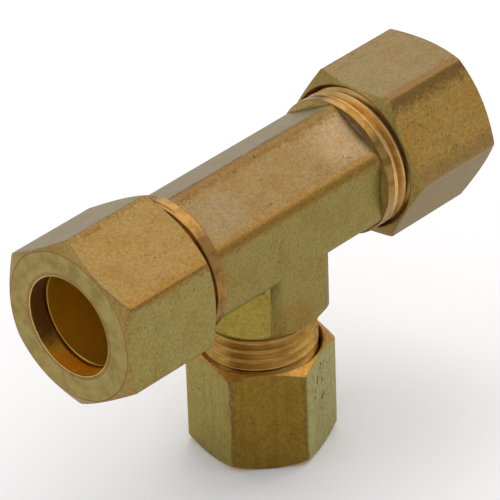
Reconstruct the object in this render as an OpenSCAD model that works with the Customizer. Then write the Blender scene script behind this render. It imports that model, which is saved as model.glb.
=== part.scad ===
// Compression union tee for copper tube, with a smaller branch.
// Millimetres. Z is up, the run lies along X and the branch points down.
// The origin is the middle of the branch nut's end face, which the fitting stands on.

/* [Tubes] */
// Outside diameter of the run's tubes
run_tube_d = 14; // [10:1:22]
// Outside diameter of the branch tube
branch_tube_d = 10; // [8:1:15]
// Radial play of a tube in its socket and sleeve
tube_play = 0.03; // [0.02:0.01:0.1]
// Radial play of a tube in the hole of its nut
nut_hole_play = 0.1; // [0.05:0.05:0.3]
// How far a tube goes into the tee before it meets the stop
socket_depth = 10; // [7:0.5:14]
// Width of the stop that a tube's end meets
tube_stop = 1; // [0.5:0.25:1.5]

/* [Threads] */
// Distance from one thread to the next
thread_pitch = 1.5; // [1:0.25:2]
// Wall from the tube's outside to the crest of the thread
spigot_wall = 3; // [2.5:0.25:4]
// Radial play between a thread's crest and its nut
thread_play = 0.05; // [0.02:0.01:0.1]
// Thread left bare between the tee's hexagon and the right nut; the left nut sits as far from the branch
run_bare_thread = 3.6; // [2:0.1:6]
// Thread left bare between the tee's hexagon and the branch nut
branch_bare_thread = 5.3; // [2:0.1:8]
// Plain collar between the tee's hexagon and the first groove of a run's thread
run_collar = 1.3; // [0.2:0.1:2]
// Plain collar between the tee's hexagon and the first groove of the branch's thread
branch_collar = 0.2; // [0.1:0.1:1]

/* [Nuts] */
// Length of a run nut
run_nut_len = 16.2; // [14:0.1:20]
// Length of the branch nut
branch_nut_len = 15.5; // [14:0.1:20]
// Wall from the crest of the thread to a nut's flat
nut_wall = 1; // [0.75:0.25:3]
// Length of the plain hole that a tube enters by
nut_hole_len = 2.4; // [1.5:0.1:4]
// Radius of the long edges of a nut
nut_edge_r = 0.7; // [0.3:0.1:1.5]
// How far inside the flats the chamfer at a nut's end starts
nut_chamfer_inset = 0.2; // [0.1:0.1:0.6]
// Angle of that chamfer from the end face
nut_chamfer_angle = 30; // [15:1:40]
// Width of the flare where the nut's thread starts
nut_flare = 0.6; // [0.2:0.1:0.8]
// Turn of the left nut about its port
left_nut_turn = 1.5; // [-30:0.5:30]
// Turn of the right nut about its port
right_nut_turn = 30; // [-30:0.5:30]
// Turn of the branch nut about its port
branch_nut_turn = -20; // [-30:0.5:30]

/* [Sleeves] */
// Length of a run sleeve
run_sleeve_len = 7; // [5:0.25:9]
// Length of the branch sleeve
branch_sleeve_len = 6.5; // [5:0.25:9]
// Wall of a sleeve
sleeve_wall = 1.15; // [0.9:0.05:1.5]
// Wall left at a sleeve's nose
sleeve_nose_wall = 0.4; // [0.25:0.05:0.6]
// Angle of the nose and of the seat that it meets, from the port's axis
seat_angle = 20; // [12:1:30]
// Width of the bevel at a sleeve's back
sleeve_bevel = 0.6; // [0.3:0.1:0.8]
// Gap between a sleeve and each of its two seats, at finger tight
seat_gap = 0.12; // [0.05:0.01:0.3]
// Space in a nut from the end of the tee to the foot of the nut's seat
sleeve_room = 2.3; // [1.5:0.1:4]

/* [Tee] */
// Length of the run's hexagon to the right of the branch's axis
run_hex_half = 15.5; // [13:0.1:25]
// How much further it reaches to the left, where its end was turned back less
run_hex_left_extra = 0.5; // [0:0.1:1]
// Length of the branch's hexagon, from the run's axis
branch_hex_len = 14.9; // [12:0.1:25]
// How far the tee's flats lie under the crest of the run's thread
flat_drop = 1.25; // [0.5:0.05:2]
// Radius of the run's long edges
run_edge_r = 1.8; // [0.3:0.1:2.5]
// Radius of the branch's long edges
branch_edge_r = 2.2; // [0.3:0.1:3]
// Radius in the corners between run and branch
crotch_r = 1.3; // [0.5:0.1:2]
// Angle from the front flat at which that corner's fillet fades into the rounded edges
crotch_fade_angle = 25; // [15:1:40]
// Angle of the turned chamfer above the branch thread, from the branch's axis
shoulder_angle = 45; // [30:1:60]
// Width of the ledge between that chamfer and the thread
shoulder_ledge = 0.2; // [0.1:0.1:0.5]

/* [Hidden] */
$fn = 96;
eps = 0.01;
// How far a spigot's core reaches back into the tee's hexagon, and how far it lies under the flats there
neck_overlap = 1;
neck_inset = 0.8;
// Flat strips that make up each rounded corner of a hexagon
corner_steps = 8;
brass = [0.72, 0.58, 0.36];
worn_brass = [0.66, 0.56, 0.36];
sleeve_brass = [0.78, 0.60, 0.34];

// A thread of this pitch is cut this deep, with flats at its crest and its root.
thread_depth = 0.6134 * thread_pitch;
crest_flat = thread_pitch / 8;
root_flat = thread_pitch / 4;

// Radii that follow a tube's diameter
function socket_r(tube_d) = tube_d / 2 + tube_play;
function stop_r(tube_d) = tube_d / 2 - tube_stop;
function hole_r(tube_d) = tube_d / 2 + nut_hole_play;
function sleeve_r(tube_d) = socket_r(tube_d) + sleeve_wall;
function crest_r(tube_d) = tube_d / 2 + spigot_wall;
function root_r(tube_d) = crest_r(tube_d) - thread_depth;
function nut_bore_r(tube_d) = crest_r(tube_d) + thread_play;
function nut_flat_r(tube_d) = crest_r(tube_d) + nut_wall;

// Places along an arm, measured from the middle of the tee
run_hex_left = run_hex_half + run_hex_left_extra;
run_nut_back = run_hex_half + run_bare_thread;
branch_nut_back = branch_hex_len + branch_bare_thread;
run_reach = run_nut_back + run_nut_len;
branch_reach = branch_nut_back + branch_nut_len;

// The nut's seat is a 45 degree cone from its hole out to its thread.
function seat_foot(tube_d, reach) = reach - nut_hole_len - nut_bore_r(tube_d) + hole_r(tube_d);
function spigot_end(tube_d, reach) = seat_foot(tube_d, reach) - sleeve_room;
function stop_at(tube_d, reach) = spigot_end(tube_d, reach) - socket_depth;

// The sleeve's back bevel lies seat_gap from that cone.
function sleeve_back(tube_d, reach) =
    reach - nut_hole_len - (sleeve_r(tube_d) - sleeve_bevel - hole_r(tube_d)) - seat_gap * sqrt(2);

// The tee's own seat is a cone that lies seat_gap from the sleeve's nose.
seat_start_r = sleeve_nose_wall + seat_gap / cos(seat_angle);
function seat_r(tube_d, from_nose) = socket_r(tube_d) + seat_start_r + from_nose * tan(seat_angle);

// The tee's hexagons, from flat to flat and to a corner
tee_flat_r = crest_r(run_tube_d) - flat_drop;
tee_corner_r = tee_flat_r / cos(30);
shoulder_r = crest_r(branch_tube_d) + shoulder_ledge;
shoulder_drop = (tee_corner_r - shoulder_r) / tan(shoulder_angle);

// ---- Arms: each module puts a shape drawn along +Z on its own arm of the tee ----

module on_left_arm() {
    translate([0, 0, branch_reach]) rotate([0, -90, 0]) children();
}

module on_right_arm() {
    translate([0, 0, branch_reach]) rotate([0, 90, 0]) children();
}

module on_branch_arm() {
    translate([0, 0, branch_reach]) rotate([180, 0, 0]) children();
}

// ---- Shapes that repeat ----

// A hexagon with flats at flat_r from its middle and its corners rounded to edge_r
module soft_hexagon(flat_r, edge_r) {
    centre_r = (flat_r - edge_r) / cos(30);
    polygon([for (corner = [0:60:300]) for (step = [0:corner_steps])
        let (side = corner - 30 + 60 * step / corner_steps)
        centre_r * [cos(corner), sin(corner)] + edge_r * [cos(side), sin(side)]]);
}

// A ringed spigot with a plain collar at its start and a chamfer at its end as deep as the thread
module threaded_spigot(tube_d, start, collar, end) {
    crest = crest_r(tube_d);
    root = root_r(tube_d);
    flank = (thread_pitch - crest_flat - root_flat) / 2;
    groove = [[crest, 0], [root, flank], [root, flank + root_flat], [crest, 2 * flank + root_flat]];
    grooves = floor((end - thread_depth - start - collar) / thread_pitch);
    neck = min(root, tee_flat_r) - neck_inset;
    rotate_extrude() polygon([
        [0, start - neck_overlap],
        [neck, start - neck_overlap],
        [neck, start],
        [crest, start],
        for (i = [0:grooves - 1]) each [for (p = groove) p + [0, start + collar + i * thread_pitch]],
        [crest, end - thread_depth],
        [root, end],
        [0, end]
    ]);
}

// The hollow of one arm: the way through, the tube's socket and the sleeve's seat at its mouth
module arm_hollow(tube_d, reach, sleeve_len) {
    end = spigot_end(tube_d, reach);
    nose_in = end - sleeve_back(tube_d, reach) + sleeve_len;
    seat_len = nose_in + seat_start_r / tan(seat_angle);
    cylinder(r = stop_r(tube_d), h = end);
    translate([0, 0, stop_at(tube_d, reach)]) cylinder(r = socket_r(tube_d), h = socket_depth + eps);
    translate([0, 0, end - seat_len])
        cylinder(r1 = socket_r(tube_d), r2 = seat_r(tube_d, nose_in), h = seat_len + eps);
}

// A compression nut with its thread's end at back and its tube hole at reach
module nut(tube_d, back, reach, turn) {
    flat_r = nut_flat_r(tube_d);
    face_r = flat_r - nut_chamfer_inset;
    corner_r = flat_r / cos(30);
    chamfer_len = (corner_r - face_r) * tan(nut_chamfer_angle);
    bore_r = nut_bore_r(tube_d);
    foot = seat_foot(tube_d, reach);
    difference() {
        intersection() {
            rotate(turn) translate([0, 0, back])
                linear_extrude(reach - back) soft_hexagon(flat_r, nut_edge_r);
            rotate_extrude() polygon([
                [0, back],
                [face_r, back],
                [corner_r, back + chamfer_len],
                [corner_r, reach - chamfer_len],
                [face_r, reach],
                [0, reach]
            ]);
        }
        translate([0, 0, back - eps]) cylinder(r = hole_r(tube_d), h = reach - back + 2 * eps);
        translate([0, 0, back - eps]) cylinder(r = bore_r, h = foot - back + eps);
        translate([0, 0, foot])
            cylinder(r1 = bore_r, r2 = hole_r(tube_d), h = bore_r - hole_r(tube_d));
        translate([0, 0, back - eps])
            cylinder(r1 = bore_r + nut_flare + eps, r2 = bore_r, h = nut_flare + eps);
    }
}

// A sleeve with its tapered nose towards the tee and its bevelled back against the nut's seat
module sleeve(tube_d, reach, sleeve_len) {
    back = sleeve_back(tube_d, reach);
    nose = back - sleeve_len;
    inner_r = socket_r(tube_d);
    outer_r = sleeve_r(tube_d);
    rotate_extrude() polygon([
        [inner_r, nose],
        [inner_r + sleeve_nose_wall, nose],
        [outer_r, nose + (sleeve_wall - sleeve_nose_wall) / tan(seat_angle)],
        [outer_r, back - sleeve_bevel],
        [outer_r - sleeve_bevel, back],
        [inner_r, back]
    ]);
}

// A fillet along the straight line where a lower face of the run meets a face of the branch.
// A slanted cut ends it where the rounded edges of the two hexagons take over.
module crotch_fillet() {
    run_face = [0, -sin(30), -cos(30)];
    branch_face = [cos(30), -sin(30), 0];
    out = (run_face + branch_face) / norm(run_face + branch_face);
    along = [tan(30), 1, -tan(30)] / norm([tan(30), 1, -tan(30)]);
    across = cross(along, out);
    lean = acos(out * run_face);
    middle = crotch_r / cos(lean);
    touch = [middle - crotch_r * cos(lean), crotch_r * sin(lean)];
    sunk = touch - [cos(lean), -sin(lean)] * crotch_r / 2;
    length = 2 * tee_corner_r;
    corner = [tee_flat_r * tan(30), -tee_flat_r, -tee_flat_r * tan(30)];
    intersection() {
        multmatrix([
            [out[0], across[0], along[0], corner[0]],
            [out[1], across[1], along[1], corner[1]],
            [out[2], across[2], along[2], corner[2]],
            [0, 0, 0, 1]
        ]) translate([0, 0, -length / 2]) linear_extrude(length) difference() {
            polygon([
                [touch[0], touch[1]],
                [sunk[0], sunk[1]],
                [sunk[0], -sunk[1]],
                [touch[0], -touch[1]],
                [middle, 0]
            ]);
            translate([middle, 0]) circle(r = crotch_r);
        }
        translate([(tee_flat_r - branch_edge_r) * tan(30), -tee_flat_r, -(tee_flat_r - run_edge_r) * tan(30)])
            rotate([crotch_fade_angle, -45, 0]) translate([-length, 0, -length]) cube(2 * length);
        translate([0, -tee_flat_r, -length]) cube([length, tee_flat_r + eps, length]);
    }
}

// ---- The pieces ----

module tee_body() {
    run_end = spigot_end(run_tube_d, run_reach);
    branch_end = spigot_end(branch_tube_d, branch_reach);
    color(worn_brass) difference() {
        union() {
            translate([-run_hex_left, 0, branch_reach]) rotate([0, 90, 0])
                linear_extrude(run_hex_left + run_hex_half) soft_hexagon(tee_flat_r, run_edge_r);
            on_branch_arm() intersection() {
                linear_extrude(branch_hex_len) soft_hexagon(tee_flat_r, branch_edge_r);
                rotate_extrude() polygon([
                    [0, 0],
                    [tee_corner_r, 0],
                    [tee_corner_r, branch_hex_len - shoulder_drop],
                    [shoulder_r, branch_hex_len],
                    [0, branch_hex_len]
                ]);
            }
            translate([0, 0, branch_reach]) for (x = [0, 1]) for (y = [0, 1]) {
                mirror([x, 0, 0]) mirror([0, y, 0]) crotch_fillet();
            }
            on_left_arm() threaded_spigot(run_tube_d, run_hex_left, run_collar, run_end);
            on_right_arm() threaded_spigot(run_tube_d, run_hex_half, run_collar, run_end);
            on_branch_arm() threaded_spigot(branch_tube_d, branch_hex_len, branch_collar, branch_end);
        }
        on_left_arm() arm_hollow(run_tube_d, run_reach, run_sleeve_len);
        on_right_arm() arm_hollow(run_tube_d, run_reach, run_sleeve_len);
        on_branch_arm() arm_hollow(branch_tube_d, branch_reach, branch_sleeve_len);
    }
}

module left_nut() {
    color(brass) on_left_arm() nut(run_tube_d, run_nut_back, run_reach, left_nut_turn);
}

module right_nut() {
    color(brass) on_right_arm() nut(run_tube_d, run_nut_back, run_reach, right_nut_turn);
}

module branch_nut() {
    color(brass) on_branch_arm() nut(branch_tube_d, branch_nut_back, branch_reach, branch_nut_turn);
}

module left_sleeve() {
    color(sleeve_brass) on_left_arm() sleeve(run_tube_d, run_reach, run_sleeve_len);
}

module right_sleeve() {
    color(sleeve_brass) on_right_arm() sleeve(run_tube_d, run_reach, run_sleeve_len);
}

module branch_sleeve() {
    color(sleeve_brass) on_branch_arm() sleeve(branch_tube_d, branch_reach, branch_sleeve_len);
}

tee_body();
left_nut();
right_nut();
branch_nut();
left_sleeve();
right_sleeve();
branch_sleeve();
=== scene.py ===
# %% [markdown]
# # A brass compression tee
#
# This fitting joins three copper tubes with nothing but spanners. The tee is a
# hexagon of forged brass with a threaded spigot on each of its three arms. On
# each spigot sits a hexagon nut, and under each nut a small tapered ring, the
# sleeve, is squeezed onto the tube as the nut turns.
#
# The construction model comes first. It is loaded as a fixed frame, in metres,
# with every piece at its real place, so nothing has to be fitted by eye.

# %% Load the frame
import math

import bmesh
import bpy
from mathutils import Matrix, Vector


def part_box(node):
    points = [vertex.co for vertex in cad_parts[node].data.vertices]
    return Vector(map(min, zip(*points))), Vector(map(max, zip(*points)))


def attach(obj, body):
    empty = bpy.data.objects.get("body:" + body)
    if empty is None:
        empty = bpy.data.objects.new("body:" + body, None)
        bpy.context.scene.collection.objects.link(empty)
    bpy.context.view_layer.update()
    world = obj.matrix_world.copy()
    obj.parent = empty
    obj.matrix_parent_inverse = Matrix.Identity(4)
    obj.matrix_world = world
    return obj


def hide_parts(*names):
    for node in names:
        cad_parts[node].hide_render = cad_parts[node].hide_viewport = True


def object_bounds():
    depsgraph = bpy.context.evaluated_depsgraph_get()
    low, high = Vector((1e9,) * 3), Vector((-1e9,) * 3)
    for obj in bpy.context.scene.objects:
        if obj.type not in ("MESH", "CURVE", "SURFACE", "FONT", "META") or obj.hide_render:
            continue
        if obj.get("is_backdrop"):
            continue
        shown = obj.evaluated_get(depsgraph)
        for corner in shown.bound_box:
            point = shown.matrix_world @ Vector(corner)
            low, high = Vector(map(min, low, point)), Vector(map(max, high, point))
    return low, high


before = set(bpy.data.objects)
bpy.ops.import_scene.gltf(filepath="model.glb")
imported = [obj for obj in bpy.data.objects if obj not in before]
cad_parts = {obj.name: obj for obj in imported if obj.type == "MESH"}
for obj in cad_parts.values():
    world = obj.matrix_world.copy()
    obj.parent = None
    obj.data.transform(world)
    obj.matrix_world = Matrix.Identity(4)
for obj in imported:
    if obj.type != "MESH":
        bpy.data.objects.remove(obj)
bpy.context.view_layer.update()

MM = 0.001
for name, node in sorted(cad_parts.items()):
    low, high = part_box(name)
    print(name, "from", [round(x / MM, 2) for x in low], "to", [round(x / MM, 2) for x in high])

# %% [markdown]
# ## The three ports
#
# A thread, a nut and a sleeve are all round about the same line, the port's
# axis. Building each one upright, along +Z, is easier than building it lying
# down, so every port gets a matrix that lays the finished shape on its arm. Its
# columns are the directions that local X, Y and Z take on the real tee, and the
# middle of the tee. Only right-handed triples are used, because a left-handed
# one would turn the screw thread the wrong way.
#
# From here on a port's sizes are in millimetres. `tube` is the diameter of the
# tube that fits it, and `crest` the radius of its thread.

# %% Lay out the ports
run_height = sum(corner.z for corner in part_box("right_nut")) / 2
TEE_MIDDLE = Vector((0, 0, run_height))
CREST_WALL = 3.0


def port_place(local_x, outward):
    """A matrix from millimetres along a port to metres in the frame."""
    z_axis = Vector(outward)
    x_axis = Vector(local_x)
    y_axis = z_axis.cross(x_axis)
    turn = Matrix((x_axis, y_axis, z_axis)).transposed().to_4x4()
    return Matrix.Translation(TEE_MIDDLE) @ turn @ Matrix.Scale(MM, 4)


PORTS = {
    "left": {"axis": "run", "tube": 14.0, "place": port_place((0, -1, 0), (-1, 0, 0))},
    "right": {"axis": "run", "tube": 14.0, "place": port_place((0, -1, 0), (1, 0, 0))},
    "branch": {"axis": "branch", "tube": 10.0, "place": port_place((1, 0, 0), (0, 0, -1))},
}


def along(node, port):
    """Where a node starts and ends along a port's axis, in millimetres."""
    to_port = PORTS[port]["place"].inverted()
    heights = [(to_port @ v.co).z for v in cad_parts[node].data.vertices]
    return min(heights), max(heights)


for name, port in PORTS.items():
    port["crest"] = port["tube"] / 2 + CREST_WALL
    port["back"], port["reach"] = along(f"{name}_nut", name)
    port["end"] = along("tee_body", name)[1]
    port["nose"], port["sleeve_back"] = along(f"{name}_sleeve", name)
    print(name, {key: round(value, 3) for key, value in port.items() if isinstance(value, float)})

# %% [markdown]
# ## Camera
#
# A long lens from about 0.6 m keeps parallel edges nearly parallel. The camera's
# own axes are worked out from an azimuth, an elevation and a roll, and written
# straight into its matrix. Depth of field stays off, so every edge is sharp.

# %% Place the camera
AZIMUTH, ELEVATION, ROLL = (math.radians(x) for x in (-45.609, 33.265, -2.043))
CAMERA_DISTANCE = 614.563 * MM
AIM_RIGHT, AIM_UP = -0.743 * MM, -4.820 * MM
FOCAL_LENGTH = 330.93


def way_to(azimuth, elevation):
    """The direction from the fitting to something at a compass angle and a height."""
    level = math.cos(elevation)
    return Vector((math.sin(azimuth) * level, -math.cos(azimuth) * level, math.sin(elevation)))


camera_data = bpy.data.cameras.new("camera")
camera_data.lens = FOCAL_LENGTH
camera_data.clip_start, camera_data.clip_end = 0.01, 20
camera = bpy.data.objects.new("camera", camera_data)
bpy.context.scene.collection.objects.link(camera)
bpy.context.scene.camera = camera

back = way_to(AZIMUTH, ELEVATION)
level_right = Vector((math.cos(AZIMUTH), math.sin(AZIMUTH), 0))
level_up = back.cross(level_right)
right = level_right * math.cos(ROLL) + level_up * math.sin(ROLL)
up = level_up * math.cos(ROLL) - level_right * math.sin(ROLL)
eye = TEE_MIDDLE + back * CAMERA_DISTANCE + right * AIM_RIGHT + up * AIM_UP
camera.matrix_world = Matrix.Translation(eye) @ Matrix((right, up, back)).transposed().to_4x4()
print("camera at", [round(x, 4) for x in eye])

# %% [markdown]
# ## Floor and light
#
# Metal has almost no colour of its own: it shows what stands round it. So the
# studio is part of the finish. The floor is a plain pale sheet. A broad soft
# light hangs above and behind, a second one fills from the side, and the sky
# round them is a quiet grey.

# %% Build the studio
FLOOR_RADIUS = 3
FLOOR_DROP = 0.02 * MM
FLOOR_COLOUR = (0.95, 0.95, 0.945, 1)
SKY_COLOUR, SKY_STRENGTH = (0.9, 0.94, 1, 1), 0.7

floor_mesh = bpy.data.meshes.new("floor")
floor_shape = bmesh.new()
bmesh.ops.create_circle(floor_shape, cap_ends=True, radius=FLOOR_RADIUS, segments=64)
floor_shape.to_mesh(floor_mesh)
floor_shape.free()
floor = bpy.data.objects.new("floor", floor_mesh)
floor.location.z = -FLOOR_DROP
bpy.context.scene.collection.objects.link(floor)
floor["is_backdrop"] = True

floor_paper = bpy.data.materials.new("floor_paper")
floor_paper.use_nodes = True
floor_shader = floor_paper.node_tree.nodes["Principled BSDF"]
floor_shader.inputs["Base Color"].default_value = FLOOR_COLOUR
floor_shader.inputs["Roughness"].default_value = 0.9
floor_mesh.materials.append(floor_paper)

world = bpy.data.worlds.new("studio")
world.use_nodes = True
sky = world.node_tree.nodes["Background"].inputs
sky["Color"].default_value = SKY_COLOUR
sky["Strength"].default_value = SKY_STRENGTH
bpy.context.scene.world = world
bpy.context.scene.view_settings.view_transform = "Standard"


def softbox(name, azimuth, elevation, distance, size, power, tint):
    """A square soft light that faces the fitting from a compass direction."""
    data = bpy.data.lights.new(name, "AREA")
    data.size, data.energy, data.color = size, power, tint
    light = bpy.data.objects.new(name, data)
    bpy.context.scene.collection.objects.link(light)
    way = way_to(math.radians(azimuth), math.radians(elevation))
    light.location = TEE_MIDDLE + way * distance
    light.rotation_mode = "QUATERNION"
    light.rotation_quaternion = way.to_track_quat("Z", "Y")
    print(name, "of", power, "W at", [round(x, 2) for x in light.location])


softbox("top_light", 107, 51, distance=0.9, size=1.2, power=6.3, tint=(1.0, 0.90, 0.84))
softbox("side_light", -120, 35, distance=1.1, size=0.6, power=1.5, tint=(1.0, 1.0, 1.0))

# %% [markdown]
# ## A small language for shaders
#
# A finish is a long sum of noises, masks and mixes. Drawn by hand it is a wall
# of nodes. Written down it reads like arithmetic, if a node's output knows how
# to add, subtract and multiply. `Wire` wraps one output socket, and each
# operator adds the Math node that does the work. Colours and directions go
# through Vector Math instead, because a Math node would keep only one number of
# the three.

# %% Wrap sockets in arithmetic
class Wire:
    """One output of a node, which does shader maths with Python's operators."""

    def __init__(self, tree, socket):
        self.tree, self.socket = tree, socket

    def node(self, kind, settings=None, inputs=None, output=0):
        """Adds any node: its settings first, then the values or wires of its sockets."""
        made = self.tree.nodes.new(kind)
        for key, value in (settings or {}).items():
            setattr(made, key, value)
        for key, value in (inputs or {}).items():
            if isinstance(value, Wire):
                self.tree.links.new(value.socket, made.inputs[key])
            else:
                made.inputs[key].default_value = value
        return Wire(self.tree, made.outputs[output])

    def also(self, output):
        """Another output of the node that this wire comes from."""
        return Wire(self.tree, self.socket.node.outputs[output])

    def maths(self, operation, *values):
        return self.node("ShaderNodeMath", {"operation": operation}, dict(enumerate(values)))

    def __add__(self, other):
        return self.maths("ADD", self, other)

    def __radd__(self, other):
        return self.maths("ADD", other, self)

    def __sub__(self, other):
        return self.maths("SUBTRACT", self, other)

    def __rsub__(self, other):
        return self.maths("SUBTRACT", other, self)

    def __mul__(self, other):
        return self.maths("MULTIPLY", self, other)

    def __rmul__(self, other):
        return self.maths("MULTIPLY", other, self)

    def __pow__(self, other):
        return self.maths("POWER", self, other)

    def vector(self, operation, *values, output=0):
        """Maths on the three numbers of a colour, a place or a direction."""
        inputs = dict(enumerate(values))
        return self.node("ShaderNodeVectorMath", {"operation": operation}, inputs, output)

    def toward(self, direction):
        """1 where this direction points the same way as another, and 0 where it is square to it."""
        return self.vector("DOT_PRODUCT", self, direction, output=1)

    def dimmed(self, shade):
        """This colour, made lighter or darker by a factor."""
        return self.node("ShaderNodeVectorMath", {"operation": "SCALE"}, {0: self, "Scale": shade})

    def between(self, low, high):
        """0 below low, 1 above high, and a smooth step in between."""
        settings = {"interpolation_type": "SMOOTHSTEP"}
        inputs = {"Value": self, "From Min": low, "From Max": high}
        return self.node("ShaderNodeMapRange", settings, inputs)

    def mix(self, first, second):
        """A colour that goes from first to second as this wire goes from 0 to 1."""
        settings = {"data_type": "RGBA"}
        return self.node("ShaderNodeMix", settings, {0: self, 6: first, 7: second}, 2)

    def stretched(self, scale, move=(0, 0, 0)):
        """These coordinates, scaled and moved."""
        inputs = {"Vector": self, "Scale": scale, "Location": move}
        return self.node("ShaderNodeMapping", None, inputs)

    def noise(self, scale, detail, rough):
        inputs = {"Vector": self, "Scale": scale, "Detail": detail, "Roughness": rough}
        return self.node("ShaderNodeTexNoise", None, inputs)


print("Wire knows", [name for name in vars(Wire) if not name.startswith("__")])

# %% [markdown]
# ## How a finish starts and ends
#
# Every finish starts with a metal shader and the piece's Object coordinates.
# Those are in metres from the frame's origin, which is awkward for a pattern a
# few tenths of a millimetre wide, so a Mapping node turns them into millimetres
# from the tee's middle. It ends with the three things that change over metal:
# its colour, its roughness and the tiny hills that bump gives it.

# %% Start and feed a shader
def start_material(name):
    """A material, its shader, the place on the piece in mm, and the way its surface faces."""
    material = bpy.data.materials.new(name)
    material.use_nodes = True
    tree = material.node_tree
    shader = tree.nodes["Principled BSDF"]
    shader.inputs["Metallic"].default_value = 1
    coords = tree.nodes.new("ShaderNodeTexCoord")
    place = Wire(tree, coords.outputs["Object"])
    place = place.stretched((1 / MM,) * 3, (0, 0, -run_height / MM))
    facing = Wire(tree, coords.outputs["Normal"])
    return material, shader, place, facing


def feed(shader, colour, rough, height):
    """Links what changes over a surface; height is in millimetres."""
    tree = colour.tree
    tree.links.new(colour.socket, shader.inputs["Base Color"])
    tree.links.new(rough.socket, shader.inputs["Roughness"])
    bump = height.node("ShaderNodeBump", None, {"Height": height, "Distance": MM, "Strength": 1.0})
    tree.links.new(bump.socket, shader.inputs["Normal"])


def leaning(axis, degrees):
    """A direction square to the run's axis or the branch's, turned from the front."""
    a = math.radians(degrees)
    if axis == "run":
        return (0, -math.cos(a), math.sin(a))
    return (math.sin(a), -math.cos(a), 0)


print("a direction at 30 degrees to the front:", [round(x, 2) for x in leaning("run", 30)])

# %% [markdown]
# ## Dots and patches
#
# Pits, flecks and freckles are all dots: small, uneven in size and thinly
# scattered. Noise would give blobs that run together. A Voronoi pattern splits
# space into cells. Each has a distance from its middle, which is a round dot,
# and a colour, whose numbers decide whether the cell has a dot and how big it
# is. A patch is one soft dot at a chosen place.

# %% Make dots and patches
SMALLEST_DOT = 0.35
DOT_BLUR = 0.35
LUCK_STEP = 0.02
PATCH_CORE = 0.3


def spots(place, scale, share, size):
    """A share of the cells of a Voronoi pattern, in dots of many sizes."""
    settings = {"feature": "F1"}
    inputs = {"Vector": place, "Scale": scale, "Randomness": 1.0}
    distance = place.node("ShaderNodeTexVoronoi", settings, inputs)
    luck = distance.node("ShaderNodeSeparateColor", None, {"Color": distance.also(1)})
    dot = (size * (SMALLEST_DOT + luck.also(1)) - distance).between(0.0, size * DOT_BLUR)
    return dot * luck.between(1 - share, 1 - share + LUCK_STEP)


def near(place, centre, size):
    """1 at a centre, and 0 outside an ellipsoid of this half size round it."""
    offset = place.vector("SUBTRACT", place, centre)
    offset = offset.vector("DIVIDE", offset, size)
    distance = offset.vector("LENGTH", offset, output=1)
    return distance.between(1.0, PATCH_CORE)


print("dots are from", SMALLEST_DOT, "to", SMALLEST_DOT + 1, "times their nominal size")

# %% [markdown]
# ## Flats and worn edges
#
# The tumbling barrel dulled the flats, and each has aged in its own way. The
# scene's own light explains only part of how they differ, so each flat has its
# own colour, picked out by the direction it faces on the piece. That colour is
# partly the flat's tarnish and partly painted light and shade for the way it faces.
#
# Each of a hexagon's long edges is worn on one side more than on the other. The
# distance across an edge is the sine of the angle from it, seen from the axis:
# a dot product with the direction square to the edge. Noise added to that
# distance frays the band's border, and a thin dark line of dirt follows it.

# %% Paint flats and worn edges
WORN_LIGHT = (0.28, 0.150, 0.030, 1)
WORN_DARK = (0.19, 0.105, 0.030, 1)
STAIN_COLOUR = (0.11, 0.065, 0.02, 1)
BORDER_AT = 0.6
BORDER_WIDTH = 0.020
FLAT_FRAY, CLOUD_FRAY, GRAIN_FRAY = 0.02, 0.20, 0.14


def flat_colours(colour, facing, unevenness, flats, fade):
    """Lays a colour on each flat, picked out by the direction the flat faces."""
    # Each flat's colour is partly its own tarnish and partly painted light and shade.
    for direction, flat_colour in flats:
        mask = (facing.toward(direction) + unevenness * FLAT_FRAY).between(*fade)
        colour = mask.mix(colour, flat_colour)
    return colour


def worn_edges(colour, place, axis, unevenness, grain, where, edges):
    """Lays brown bands on edges; each is (angle, worn side, half width, strength, colour)."""
    square = (0, 1, 1) if axis == "run" else (1, 1, 0)
    out = place.vector("MULTIPLY", place, square)
    out = out.vector("NORMALIZE", out)
    for angle, side, width, strength, brown in edges:
        on_edge = out.toward(leaning(axis, angle))
        aside = out.toward(leaning(axis, angle + 90 * side))
        across = aside + unevenness * CLOUD_FRAY + grain * GRAIN_FRAY
        crisp_side = across.between(-BORDER_AT * width, -0.45 * width)
        soft_side = across.between(1.5 * width, 0.5 * width)
        border = across + BORDER_AT * width
        line = border.maths("ABSOLUTE", border).between(BORDER_WIDTH, 0.0)
        line = line * unevenness.between(0.02, 0.12)
        here = on_edge.between(0.85, 0.9) * where * strength
        colour = (crisp_side * soft_side * here).mix(colour, brown)
        colour = (line * here * 0.6).mix(colour, STAIN_COLOUR)
    return colour


print("worn edges are", WORN_LIGHT, "or", WORN_DARK)

# %% [markdown]
# ## Pits, freckles and scratches
#
# The barrel leaves a few dark pits everywhere, and knocks leave freckles and
# short scratches in some places. All three are dots: a freckle is a dot near
# one place, and a scratch is a dot pulled long, on coordinates bent by noise so
# that no two lie alike. One mask gathers them, because each is dark, rough and
# deeper than the metal round it.

# %% Gather the dark marks
PITS = {"scale": 2.2, "share": 0.10, "size": 0.30}
FRECKLES = {"scale": 2.4, "share": 0.6, "size": 0.26}
SCRATCHES = {"share": 0.8, "size": 0.42}
SCRATCH_PULL = (1.8, 1.8, 0.8)
SCRATCH_BEND = (1.6, 1.6, 1.6)
FRECKLE_DEPTH, SCRATCH_DEPTH = 0.75, 0.9


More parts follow.
